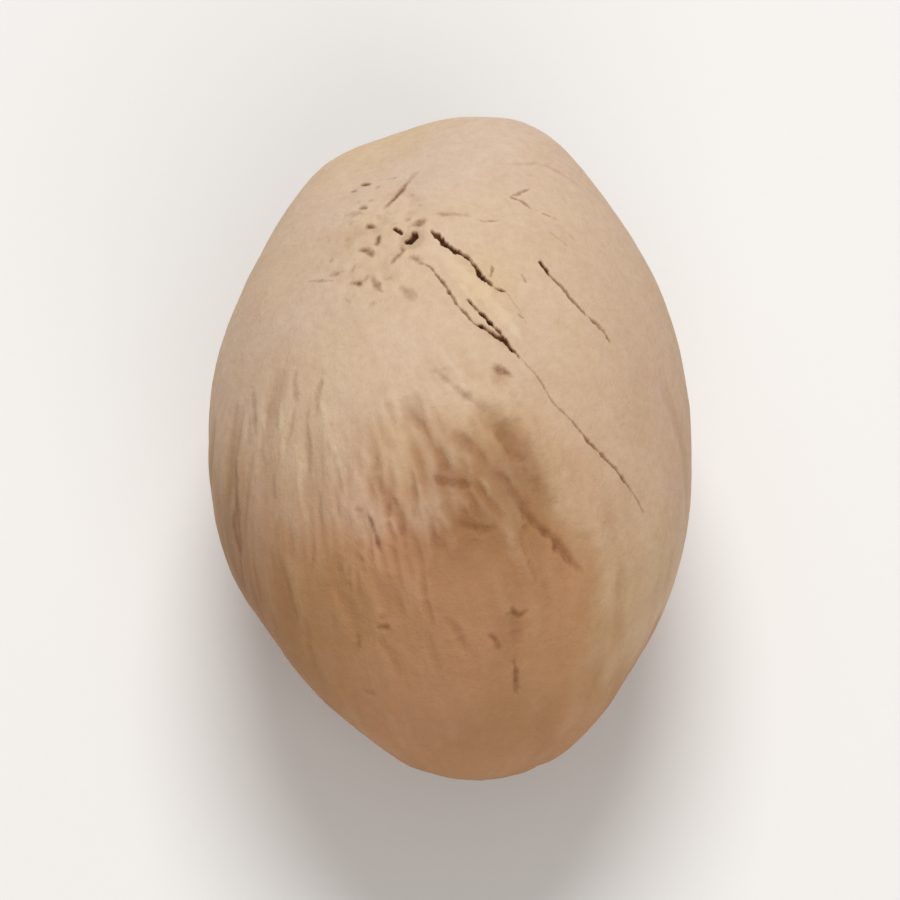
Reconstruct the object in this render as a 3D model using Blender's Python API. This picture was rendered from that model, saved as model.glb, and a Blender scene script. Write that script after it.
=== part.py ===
"""A whole nutmeg lying on its side, with shrinkage cracks, lengthwise folds and a small flat to rest on.

Lengths are in metres. The long axis is Y, with the hilum end towards +Y, and +Z is up.
"""

import math
import random
from collections import namedtuple

import bmesh
import bpy
import numpy as np
from mathutils import Vector, noise

MM = 0.001

# The kernel's size as it lies
LENGTH = 28.2 * MM
WIDTH = 19.7 * MM
HEIGHT = 18.6 * MM

# The flat on the underside: how far up into the round it is cut, and how far above it relief fades in
SEAT_DEPTH = 0.32 * MM
SEAT_FADE = 0.5 * MM

# A place on the kernel is (along, around): along runs from -1 at the tip to 1 at the hilum end, as a share
# of the half length, and around is the angle in degrees from the top towards +X
HILUM = (0.438, -10)
GRAIN_HEAD = (0.45, -36)  # where the folds fan out from, beside the hilum
TIP_SCAR = (-0.82, 178)  # where they meet again

# Round pits
Pit = namedtuple("Pit", "place radius depth")
PITS = (
    Pit(HILUM, 0.75 * MM, 0.25 * MM),
    Pit(TIP_SCAR, 1.70 * MM, 0.55 * MM),
    Pit((-0.01, 12), 0.50 * MM, 0.08 * MM),
    Pit((-0.68, 23), 0.50 * MM, 0.09 * MM),
    Pit((-0.80, 19), 0.60 * MM, 0.10 * MM),
)

# Broad swells, and hollows where the height is below zero, that take the body away from a true ellipsoid
Swell = namedtuple("Swell", "place height spread_degrees")
SWELLS = (
    Swell((-0.78, -126), -1.95 * MM, 31),  # flattened flank by the tip
    Swell((-0.62, -104), -0.50 * MM, 14),
    Swell((-0.85, 100), -0.15 * MM, 30),
    Swell((-0.45, 98), -0.12 * MM, 18),
    Swell((0.92, 40), 1.00 * MM, 19),  # blunt shoulder by the hilum end
    Swell((0.955, 26), -0.30 * MM, 10),
    Swell((0.80, -30), -0.50 * MM, 17),  # straighter slope beside it, with a lower shoulder past that
    Swell((0.87, -68), 0.45 * MM, 14),
    Swell((-0.20, 155), -0.25 * MM, 25),
)
LUMP_HEIGHT = 0.16 * MM
LUMPS_ACROSS = 2.6

# Folds run along the grain, from its head to the tip's scar. Each zone is a cap of the surface, and the
# folds of a zone that fades die out towards the smooth side
Zone = namedtuple("Zone", "place spread_degrees count lengths half_widths depths seed fades")
FOLD_ZONES = (
    Zone((-0.15, 180), 68, 42, (5 * MM, 13 * MM), (0.60 * MM, 0.90 * MM), (0.16 * MM, 0.36 * MM), 11, True),
    Zone((0.72, 165), 34, 14, (3 * MM, 6 * MM), (0.55 * MM, 0.75 * MM), (0.16 * MM, 0.34 * MM), 12, True),
    Zone((-0.45, -66), 28, 10, (3 * MM, 6 * MM), (0.55 * MM, 0.75 * MM), (0.07 * MM, 0.13 * MM), 13, False),
    Zone((-0.48, 5), 18, 7, (1.5 * MM, 3.5 * MM), (0.55 * MM, 0.85 * MM), (0.08 * MM, 0.16 * MM), 14, False),
    Zone((-0.55, 95), 34, 10, (3 * MM, 7 * MM), (0.55 * MM, 0.75 * MM), (0.07 * MM, 0.14 * MM), 15, False),
)
SMOOTH_SIDE = (-0.375, 0)
FADE_START = 0.50  # how far to the other side the fading starts, and where it ends, as shares of the radius
FADE_END = 0.05
FADE_LEFT = 0.10  # of the depth, left past the end
START_TRIES = 8  # how many random places are tried for a fold, of which the loneliest is kept
FOLD_STEP = 0.20 * MM
FOLD_WANDER = 0.55
WANDERS_ACROSS = 5.0
LONGEST_PHASE = 50  # how far apart two folds can lie in the wandering noise
FOLD_END_WIDTH = 0.6  # of the half width, left at a fold's two ends
POLE_SOFTNESS = 0.001  # keeps the grain finite at its head and at the scar

# A groove's section, in half widths from its middle: the valley, and a raised lip on each side of it
VALLEY_POWER = 1.5
LIP_PLACE = 1.35
LIP_SPREAD = 0.45
LIP_SHARE = 0.30  # of the groove's depth
GROOVE_REACH = 2.4

# Shrinkage cracks by the hilum: places they pass through, half width and depth where they are widest
Crack = namedtuple("Crack", "places half_width depth")
CRACKS = (
    Crack(((0.455, -5), (0.376, 2), (0.333, 6), (0.275, 9), (0.241, 14), (0.20, 17)), 0.20 * MM, 0.45 * MM),
    Crack(((0.336, -8), (0.28, -3), (0.18, 4), (0.11, 11), (0.03, 17.5)), 0.22 * MM, 0.45 * MM),
    Crack(((0.03, 17.5), (-0.077, 25), (-0.14, 31), (-0.247, 46), (-0.33, 59)), 0.15 * MM, 0.20 * MM),
    Crack(((0.351, 23), (0.234, 31), (0.178, 39), (0.10, 47)), 0.17 * MM, 0.28 * MM),
    Crack(((0.52, -20), (0.60, -15), (0.65, -11)), 0.16 * MM, 0.24 * MM),
    Crack(((-0.406, -23), (-0.46, -22), (-0.53, -20)), 0.18 * MM, 0.28 * MM),
)
CRACK_STEP = 0.45 * MM
CRACK_SWAY = 0.16 * MM
SWAYS_ACROSS = 9.0
CRACK_END = 0.25  # of the width and depth, left at a crack's two ends
CUTTER_RISE = 0.30 * MM  # how far a crack's cutter stands out of the surface

# Triangles: the sphere that is shaped, and how long its edges may be in a groove and far from one
SPHERE_LEVEL = 4
FINE_SHARE = 1.0  # of a groove's half width
COARSENING = 0.6  # how fast edges may lengthen away from a groove
LONGEST_EDGE = 1.1 * MM
SPLIT_SHARE = 1.45  # of the longest that an edge may be there, past which it is split
REFINE_ROUNDS = 5
SMOOTHING = 0.5
CUT_TOLERANCE = 0.00001 * MM

KERNEL_COLOUR = (0.45, 0.28, 0.165, 1.0)
KERNEL_ROUGHNESS = 0.62

HALF_AXES = np.array((WIDTH / 2, LENGTH / 2, (HEIGHT + SEAT_DEPTH) / 2))
SEAT_LEVEL = SEAT_DEPTH - HALF_AXES[2]

Groove = namedtuple("Groove", "points half_widths depths")


def direction_at(place):
    """Unit vector, on the sphere that the kernel is shaped from, of an (along, around) place."""
    along, around = place
    ring = math.sqrt(1 - along * along)
    angle = math.radians(around)
    return Vector((ring * math.sin(angle), along, ring * math.cos(angle)))


def body_normals(directions):
    """Outward unit normals of the kernel's ellipsoid."""
    normals = directions / HALF_AXES
    return normals / np.linalg.norm(normals, axis=1, keepdims=True)


def smooth_body(directions):
    """Points of the kernel without its folds, cracks and pits, one for each unit direction."""
    rise = LUMP_HEIGHT * np.array([noise.noise(Vector(d) * LUMPS_ACROSS) for d in directions])
    for swell in SWELLS:
        nearness = directions @ np.array(direction_at(swell.place))
        angle = np.arccos(np.clip(nearness, -1, 1))
        rise += swell.height * np.exp(-((angle / math.radians(swell.spread_degrees)) ** 2))
    return directions * HALF_AXES + body_normals(directions) * rise[:, None]


def grain_direction(here):
    """Unit vector along the grain, which flows over the sphere from its head to the tip's scar."""
    flow = Vector()
    for pole, sense in ((direction_at(GRAIN_HEAD), -1), (direction_at(TIP_SCAR), 1)):
        nearness = here.dot(pole)
        flow += sense * (pole - nearness * here) / (1 + POLE_SOFTNESS - nearness)
    return flow.normalized()


def spread_starts(zone, chooser):
    """Well spread unit directions inside the zone's cap."""
    centre = direction_at(zone.place)
    side = centre.orthogonal()
    across = centre.cross(side)
    starts = []
    while len(starts) < zone.count:
        tries = []
        for _ in range(START_TRIES):
            rise = chooser.uniform(math.cos(math.radians(zone.spread_degrees)), 1)
            turn = chooser.uniform(0, 2 * math.pi)
            level = side * math.cos(turn) + across * math.sin(turn)
            tries.append(centre * rise + level * math.sqrt(1 - rise * rise))
        starts.append(max(tries, key=lambda one: min((one.angle(other) for other in starts), default=0)))
    return starts


def walk_grain(start, length, sense, phase):
    """Unit directions along the grain from start, with a seeded wander to each side."""
    here = start.copy()
    walked = [here.copy()]
    for _ in range(round(length / FOLD_STEP)):
        along = grain_direction(here)
        aside = here.cross(along) * noise.noise(here * WANDERS_ACROSS + phase) * FOLD_WANDER
        heading = (along + aside).normalized() * sense
        stride = FOLD_STEP / np.linalg.norm(np.array(heading) * HALF_AXES)
        here = (here + heading * stride).normalized()
        walked.append(here.copy())
    return walked


def fade_share(directions):
    """Share of its depth that a fading fold keeps at each direction."""
    away = -directions @ np.array(direction_at(SMOOTH_SIDE))
    return np.clip((away - FADE_END) / (FADE_START - FADE_END), FADE_LEFT, 1)


def tapered_groove(directions, half_width, depths):
    """A groove along these directions that narrows and rises out of the surface at both ends."""
    share = np.linspace(0, 1, len(directions))
    taper = np.sqrt(np.clip(4 * share * (1 - share), 0, 1))
    widths = half_width * (FOLD_END_WIDTH + (1 - FOLD_END_WIDTH) * taper)
    return Groove(smooth_body(directions), widths, depths * taper)


def fold_grooves():
    """The folds of every zone."""
    folds = []
    for zone in FOLD_ZONES:
        chooser = random.Random(zone.seed)
        for start in spread_starts(zone, chooser):
            length = chooser.uniform(*zone.lengths)
            phase = Vector((chooser.uniform(0, LONGEST_PHASE), 0, 0))
            before = walk_grain(start, length / 2, -1, phase)
            after = walk_grain(start, length / 2, 1, phase)
            directions = np.array(before[:0:-1] + after)
            half_width = chooser.uniform(*zone.half_widths)
            depth = chooser.uniform(*zone.depths)
            keep = fade_share(directions) if zone.fades else 1
            folds.append(tapered_groove(directions, half_width, depth * keep))
    return folds


def pit_grooves():
    """The round pits, each a groove of one point."""
    pits = []
    for pit in PITS:
        middle = smooth_body(np.array([direction_at(pit.place)]))
        pits.append(Groove(middle, np.array([pit.radius]), np.array([pit.depth])))
    return pits


def nearest_on(groove, points, reach):
    """Of the points within reach of the groove: indices, distances to it and nearest samples on it."""
    middle = groove.points.mean(axis=0)
    radius = np.linalg.norm(groove.points - middle, axis=1).max() + reach
    near = np.flatnonzero(np.linalg.norm(points - middle, axis=1) < radius)
    gaps = np.linalg.norm(points[near, None] - groove.points[None], axis=2)
    sample = gaps.argmin(axis=1)
    distance = gaps[np.arange(len(near)), sample]
    close = distance < reach
    return near[close], distance[close], sample[close]


def groove_relief(points, grooves):
    """How far the grooves sink each point, less what their lips raise it."""
    sunk = np.zeros(len(points))
    raised = np.zeros(len(points))
    for groove in grooves:
        near, distance, sample = nearest_on(groove, points, groove.half_widths.max() * GROOVE_REACH)
        across = distance / groove.half_widths[sample]
        valley = np.clip(1 - across**2, 0, 1) ** VALLEY_POWER
        lip = np.exp(-(((across - LIP_PLACE) / LIP_SPREAD) ** 2)) * LIP_SHARE
        sunk[near] = np.maximum(sunk[near], valley * groove.depths[sample])
        raised[near] = np.maximum(raised[near], lip * groove.depths[sample])
    return sunk - raised


def longest_edges_at(points, grooves):
    """How long an edge may be at each point: short in a groove and longer away from it."""
    limits = np.full(len(points), LONGEST_EDGE)
    for groove in grooves:
        near, distance, sample = nearest_on(groove, points, LONGEST_EDGE / COARSENING)
        half_width = groove.half_widths[sample]
        beside = np.maximum(distance - half_width, 0)
        limits[near] = np.minimum(limits[near], half_width * FINE_SHARE + beside * COARSENING)
    return limits


def refine(shape, grooves):
    """Splits the sphere's long edges, most of all where the grooves will be, to keep them crisp."""
    for _ in range(REFINE_ROUNDS):
        edges = list(shape.edges)
        starts, ends = (smooth_body(np.array([edge.verts[i].co for edge in edges])) for i in (0, 1))
        lengths = np.linalg.norm(ends - starts, axis=1)
        limits = longest_edges_at((starts + ends) / 2, grooves) * SPLIT_SHARE
        long_edges = [edge for edge, length, limit in zip(edges, lengths, limits) if length > limit]
        if not long_edges:
            break
        bmesh.ops.subdivide_edges(shape, edges=long_edges, cuts=1)
        bmesh.ops.triangulate(shape, faces=shape.faces, quad_method="BEAUTY", ngon_method="BEAUTY")
        bmesh.ops.smooth_vert(
            shape, verts=shape.verts, factor=SMOOTHING, use_axis_x=True, use_axis_y=True, use_axis_z=True
        )
        for vertex in shape.verts:
            vertex.co.normalize()


def cut_seat(shape):
    """Cuts the round underside off at the seat and closes it with one flat face."""
    cut = bmesh.ops.bisect_plane(
        shape,
        geom=shape.verts[:] + shape.edges[:] + shape.faces[:],
        dist=CUT_TOLERANCE,
        plane_co=(0, 0, SEAT_LEVEL),
        plane_no=(0, 0, -1),
        clear_outer=True,
    )
    rim = [item for item in cut["geom_cut"] if isinstance(item, bmesh.types.BMEdge)]
    bmesh.ops.holes_fill(shape, edges=rim)
    bmesh.ops.triangulate(shape, faces=shape.faces)


def kernel_shape():
    """The kernel without its cracks, centred on the sphere that it is shaped from."""
    grooves = fold_grooves() + pit_grooves()
    shape = bmesh.new()
    bmesh.ops.create_icosphere(shape, subdivisions=SPHERE_LEVEL, radius=1.0)
    refine(shape, grooves)
    directions = np.array([vertex.co.normalized() for vertex in shape.verts])
    points = smooth_body(directions)
    relief = groove_relief(points, grooves)
    relief *= np.clip((points[:, 2] - SEAT_LEVEL) / SEAT_FADE, 0, 1)
    points -= body_normals(directions) * relief[:, None]
    for vertex, point in zip(shape.verts, points):
        vertex.co = point
    cut_seat(shape)
    return shape


def shift_to_seat(shape):
    """The move that brings the middle of the shape's box over the origin and its seat to z = 0."""
    corners = np.array([vertex.co for vertex in shape.verts])
    middle = (corners.min(axis=0) + corners.max(axis=0)) / 2
    return Vector((-middle[0], -middle[1], -SEAT_LEVEL))


def kernel_material():
    """Matt pale brown."""
    material = bpy.data.materials.new("nutmeg_kernel")
    material.use_nodes = True
    shader = material.node_tree.nodes["Principled BSDF"]
    shader.inputs["Base Color"].default_value = KERNEL_COLOUR
    shader.inputs["Roughness"].default_value = KERNEL_ROUGHNESS
    return material


def kernel_object(shape):
    """The nutmeg's object, from its shape."""
    mesh = bpy.data.meshes.new("nutmeg")
    shape.to_mesh(mesh)
    mesh.shade_smooth()
    mesh.materials.append(kernel_material())
    return bpy.data.objects.new("nutmeg", mesh)


def crack_line(crack):
    """Unit directions along a crack, swaying a little about the lines through its places."""
    corners = [direction_at(place) for place in crack.places]
    directions = []
    for first, last in zip(corners, corners[1:]):
        gap = np.linalg.norm(np.array(last - first) * HALF_AXES)
        steps = max(1, round(gap / CRACK_STEP))
        for step in range(steps):
            here = first.lerp(last, step / steps).normalized()
            aside = here.cross(last - first).normalized()
            sway = noise.noise(here * SWAYS_ACROSS) * CRACK_SWAY / HALF_AXES[0]
            directions.append((here + aside * sway).normalized())
    return np.array(directions + [corners[-1]])


def crack_sections(crack):
    """Corners of the wedge's triangular sections along a crack, sharp edge down, smaller at both ends."""
    directions = crack_line(crack)
    points = smooth_body(directions)
    up = body_normals(directions)
    aside = np.cross(up, np.gradient(points, axis=0))
    aside /= np.linalg.norm(aside, axis=1, keepdims=True)
    share = np.linspace(0, 1, len(points))
    taper = np.maximum(np.sqrt(4 * share * (1 - share)), CRACK_END)[:, None]
    depth = crack.depth * taper
    reach = crack.half_width * taper * (depth + CUTTER_RISE) / depth
    top = points + up * CUTTER_RISE
    return np.stack((top - aside * reach, points - up * depth, top + aside * reach), axis=1)


def crack_cutter(crack, name):
    """A long thin wedge that follows the crack."""
    wedge = bmesh.new()
    rings = [[wedge.verts.new(corner) for corner in section] for section in crack_sections(crack)]
    wedge.faces.new(rings[0])
    for near, far in zip(rings, rings[1:]):
        for side in range(3):
            wedge.faces.new((near[side - 1], near[side], far[side], far[side - 1]))
    wedge.faces.new(rings[-1])
    bmesh.ops.recalc_face_normals(wedge, faces=wedge.faces)
    mesh = bpy.data.meshes.new(name)
    wedge.to_mesh(mesh)
    wedge.free()
    cutter = bpy.data.objects.new(name, mesh)
    cutter.hide_render = True
    cutter.display_type = "WIRE"
    return cutter


def new_collection(name):
    collection = bpy.data.collections.new(name)
    bpy.context.scene.collection.children.link(collection)
    return collection


def cut_cracks(kernel, shift):
    """Cuts every crack into the kernel."""
    cutters = new_collection("cutters")
    for number, crack in enumerate(CRACKS, start=1):
        cutter = crack_cutter(crack, f"crack_cutter_{number}")
        cutter.location = shift
        cutters.objects.link(cutter)
    cut = kernel.modifiers.new("cracks", "BOOLEAN")
    cut.operation = "DIFFERENCE"
    cut.solver = "EXACT"
    cut.operand_type = "COLLECTION"
    cut.collection = cutters


def main():
    for old in list(bpy.data.objects):
        bpy.data.objects.remove(old)
    shape = kernel_shape()
    shift = shift_to_seat(shape)
    bmesh.ops.translate(shape, verts=shape.verts, vec=shift)
    kernel = kernel_object(shape)
    shape.free()
    new_collection("whole_nutmeg").objects.link(kernel)
    cut_cracks(kernel, shift)
    print(f"nutmeg: {len(kernel.data.polygons)} triangles before its cracks")


main()
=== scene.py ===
import math
import random

import bmesh
import bpy
import numpy as np
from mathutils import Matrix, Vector, noise


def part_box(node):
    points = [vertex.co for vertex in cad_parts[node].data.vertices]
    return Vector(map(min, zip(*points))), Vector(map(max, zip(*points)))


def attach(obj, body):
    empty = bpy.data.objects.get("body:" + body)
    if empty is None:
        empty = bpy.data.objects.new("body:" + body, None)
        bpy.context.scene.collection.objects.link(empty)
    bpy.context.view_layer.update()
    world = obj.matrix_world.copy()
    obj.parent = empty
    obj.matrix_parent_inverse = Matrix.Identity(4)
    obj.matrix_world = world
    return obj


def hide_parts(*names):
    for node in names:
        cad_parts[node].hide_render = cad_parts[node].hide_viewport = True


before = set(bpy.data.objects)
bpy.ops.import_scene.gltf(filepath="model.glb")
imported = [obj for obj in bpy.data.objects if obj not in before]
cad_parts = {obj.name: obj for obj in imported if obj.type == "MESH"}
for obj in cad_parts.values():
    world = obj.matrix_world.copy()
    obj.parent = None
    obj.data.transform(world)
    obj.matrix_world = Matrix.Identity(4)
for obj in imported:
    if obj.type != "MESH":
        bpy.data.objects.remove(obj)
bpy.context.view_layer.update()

# Whole nutmeg on its side. Y is its length with the hilum end towards +Y, and +Z is up.
# A place on the kernel is (along, around): along is a share of the half length, from -1 at the tip to 1
# at the hilum end, and around is the angle in degrees from the top towards +X.

mm = 0.001

kernelForm = {
    "hilum": (0.438, -10),
    "grainHead": (0.45, -36),  # where the grain fans out from, beside the hilum
    "tipScar": (-0.82, 178),  # where it meets again
    "poleReach": 1.001,  # just over 1, so that the grain stays finite at its two ends
    "poleGap": 1e-3,  # the least distance from an end that counts
    "seatDepth": 0.32 * mm,  # how far the round underside is flattened
    "seatFade": 0.5 * mm,  # relief fades in over this height above the seat
    "lumpHeight": 0.16 * mm,
    "lumpsAcross": 2.6,
    # place, height, spread in degrees; a height below zero is a hollow
    "swells": [
        ((-0.78, -126), -1.95 * mm, 31),
        ((-0.62, -104), -0.50 * mm, 14),
        ((-0.85, 100), -0.15 * mm, 30),
        ((-0.45, 98), -0.12 * mm, 18),
        ((0.92, 40), 1.00 * mm, 19),
        ((0.955, 26), -0.30 * mm, 10),
        ((0.80, -30), -0.50 * mm, 17),
        ((0.87, -68), 0.45 * mm, 14),
        ((-0.20, 155), -0.25 * mm, 25),
    ],
    # fine unevenness: height, how many across the half width
    "ripples": [(0.030 * mm, 8), (0.012 * mm, 26)],
    "furrowDepth": 0.20 * mm,  # a fold this deep counts as fully sunk for the colours
}
# Where each kind of unevenness reads the noise, so that no two kinds move together
noisePhases = {"ridgeSway": 90, "lumps": 80, "ridges": 17, "bloomAndShade": 11, "ripples": 60, "cracks": 1,
               "marks": 400, "flecks": 900, "strips": 800}
boxLow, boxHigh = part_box("nutmeg")
boxCentre = (boxLow + boxHigh) / 2
halfAxes = np.array(boxHigh - boxLow) / 2
halfAxes[2] += kernelForm["seatDepth"] / 2
seatLevel = kernelForm["seatDepth"] - halfAxes[2]


def directionAt(place):
    along, around = place
    ring = math.sqrt(1 - along * along)
    angle = math.radians(around)
    return Vector((ring * math.sin(angle), along, ring * math.cos(angle)))


def placeOf(direction):
    return direction.y, math.degrees(math.atan2(direction.x, direction.z))


def bodyNormals(directions):
    normals = directions / halfAxes
    return normals / np.linalg.norm(normals, axis=1, keepdims=True)


def noiseValues(points, across, offset=0.0):
    shift = Vector((offset, 0, 0))
    return np.array([noise.noise(Vector(point) * across + shift) for point in points])


def angleFrom(directions, place):
    return np.degrees(np.arccos(np.clip(directions @ np.array(directionAt(place)), -1, 1)))


# A value that is base everywhere but near the patches, each of which pulls it to an amount of its own
def patchValues(directions, base, patches):
    values = np.full(len(directions), float(base))
    for place, spread, amount in patches:
        values += (amount - values) * np.exp(-((angleFrom(directions, place) / spread) ** 2))
    return values


# The kernel's surface without folds, cracks and pits
def smoothBody(directions):
    rise = kernelForm["lumpHeight"] * noiseValues(directions, kernelForm["lumpsAcross"])
    for place, height, spread in kernelForm["swells"]:
        rise += height * np.exp(-((angleFrom(directions, place) / spread) ** 2))
    return directions * halfAxes + bodyNormals(directions) * rise[:, None]


# The grain flows over the kernel from its head to the tip's scar
def grainDirection(here):
    flow = Vector()
    for pole, sense in ((directionAt(kernelForm["grainHead"]), -1), (directionAt(kernelForm["tipScar"]), 1)):
        nearness = here.dot(pole)
        flow += sense * (pole - nearness * here) / (kernelForm["poleReach"] - nearness)
    return flow.normalized()


# Seamless coordinates that follow the grain: the first two go round its head, the third runs along
def grainCoordinates(directions):
    scar = directionAt(kernelForm["tipScar"])
    side = scar.orthogonal().normalized()
    sideways = np.array(side)
    forwards = np.array(scar.cross(side))

    def flatPlace(rows):
        spread = np.maximum(1 - rows @ np.array(scar), kernelForm["poleGap"])
        return (rows @ sideways + 1j * (rows @ forwards)) / spread

    centre = flatPlace(np.array([directionAt(kernelForm["grainHead"])]))[0]
    away = flatPlace(directions) - centre
    turn = np.angle(away)
    reach = np.log(np.maximum(np.abs(away), kernelForm["poleGap"]))
    return np.stack((np.cos(turn), np.sin(turn), reach), axis=1)


# Folds along the grain: cap of the surface (place, spread in degrees), how many, then lengths, half widths,
# depths and the mesh's edge in millimetres. Those of a zone that fades die out towards the smooth side
foldZones = [
    {"place": (-0.15, 180), "spread": 68, "count": 42, "lengths": (5, 13), "widths": (0.60, 0.90),
     "depths": (0.16, 0.36), "seed": 11, "edge": 0.19, "fades": True},
    {"place": (0.72, 165), "spread": 34, "count": 14, "lengths": (3, 6), "widths": (0.55, 0.75),
     "depths": (0.16, 0.34), "seed": 12, "edge": 0.19, "fades": True},
    {"place": (-0.45, -66), "spread": 28, "count": 10, "lengths": (3, 6), "widths": (0.55, 0.75),
     "depths": (0.04, 0.09), "seed": 13, "edge": 0.18, "fades": False},
    {"place": (-0.48, 5), "spread": 18, "count": 7, "lengths": (1.5, 3.5), "widths": (0.55, 0.85),
     "depths": (0.06, 0.12), "seed": 14, "edge": 0.18, "fades": False},
    {"place": (-0.55, 95), "spread": 34, "count": 10, "lengths": (3, 7), "widths": (0.55, 0.75),
     "depths": (0.03, 0.06), "seed": 15, "edge": 0.18, "fades": False},
]
# Finer wrinkles, in the same terms
wrinkleZones = [
    {"place": (-0.15, 180), "spread": 74, "count": 84, "lengths": (2, 6), "widths": (0.25, 0.42),
     "depths": (0.06, 0.16), "seed": 31, "edge": 0.15, "fades": True},
    {"place": (-0.40, -48), "spread": 22, "count": 24, "lengths": (1.2, 3.0), "widths": (0.15, 0.28),
     "depths": (0.02, 0.05), "seed": 32, "edge": 0.13, "fades": False},
    {"place": (-0.46, 0), "spread": 22, "count": 34, "lengths": (0.7, 2.4), "widths": (0.16, 0.34),
     "depths": (0.03, 0.09), "seed": 33, "edge": 0.13, "fades": False},
    {"place": (-0.80, 176), "spread": 24, "count": 26, "lengths": (1.5, 4), "widths": (0.20, 0.36),
     "depths": (0.08, 0.18), "seed": 34, "edge": 0.14, "fades": True},
]
foldWalk = {"step": 0.20 * mm, "wander": 0.55, "wandersAcross": 5.0, "longestPhase": 50, "tries": 8,
            "endWidth": 0.6, "smoothSide": (-0.375, 0), "fadeStart": 0.50, "fadeEnd": 0.05, "fadeLeft": 0.10}


# Random places on the zone's cap, each the loneliest of several tries
def spreadStarts(zone, chooser):
    centre = directionAt(zone["place"])
    side = centre.orthogonal()
    across = centre.cross(side)
    starts = []
    while len(starts) < zone["count"]:
        tries = []
        for _ in range(foldWalk["tries"]):
            rise = chooser.uniform(math.cos(math.radians(zone["spread"])), 1)
            turn = chooser.uniform(0, 2 * math.pi)
            level = side * math.cos(turn) + across * math.sin(turn)
            tries.append(centre * rise + level * math.sqrt(1 - rise * rise))
        starts.append(max(tries, key=lambda one: min((one.angle(other) for other in starts), default=0)))
    return starts


# Walks from a place along the grain, swaying a little
def walkGrain(start, length, sense, phase):
    here = start.copy()
    walked = [here.copy()]
    for _ in range(round(length / foldWalk["step"])):
        along = grainDirection(here)
        sway = noise.noise(here * foldWalk["wandersAcross"] + phase) * foldWalk["wander"]
        heading = (along + here.cross(along) * sway).normalized() * sense
        stride = foldWalk["step"] / np.linalg.norm(np.array(heading) * halfAxes)
        here = (here + heading * stride).normalized()
        walked.append(here.copy())
    return walked


# What is left of a fading fold's depth: all on the far side, little on the smooth side
def fadeShare(directions):
    away = -directions @ np.array(directionAt(foldWalk["smoothSide"])) - foldWalk["fadeEnd"]
    return np.clip(away / (foldWalk["fadeStart"] - foldWalk["fadeEnd"]), foldWalk["fadeLeft"], 1)


# A stroke is a line of samples on the surface, each with a half width, a depth and a darkness
def foldStrokes(zones):
    strokes = []
    for zone in zones:
        chooser = random.Random(zone["seed"])
        for start in spreadStarts(zone, chooser):
            length = chooser.uniform(*zone["lengths"]) * mm
            phase = Vector((chooser.uniform(0, foldWalk["longestPhase"]), 0, 0))
            before = walkGrain(start, length / 2, -1, phase)
            after = walkGrain(start, length / 2, 1, phase)
            halfWidth = chooser.uniform(*zone["widths"]) * mm
            depth = chooser.uniform(*zone["depths"]) * mm
            directions = np.array(before[:0:-1] + after)
            share = np.linspace(0, 1, len(directions))
            taper = np.sqrt(np.clip(4 * share * (1 - share), 0, 1))
            widths = halfWidth * (foldWalk["endWidth"] + (1 - foldWalk["endWidth"]) * taper)
            if zone["fades"]:
                depth = depth * fadeShare(directions)
            strokes.append({"points": smoothBody(directions), "widths": widths, "depths": depth * taper,
                            "darks": np.zeros(len(directions)), "edge": zone["edge"] * mm})
    return strokes
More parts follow.
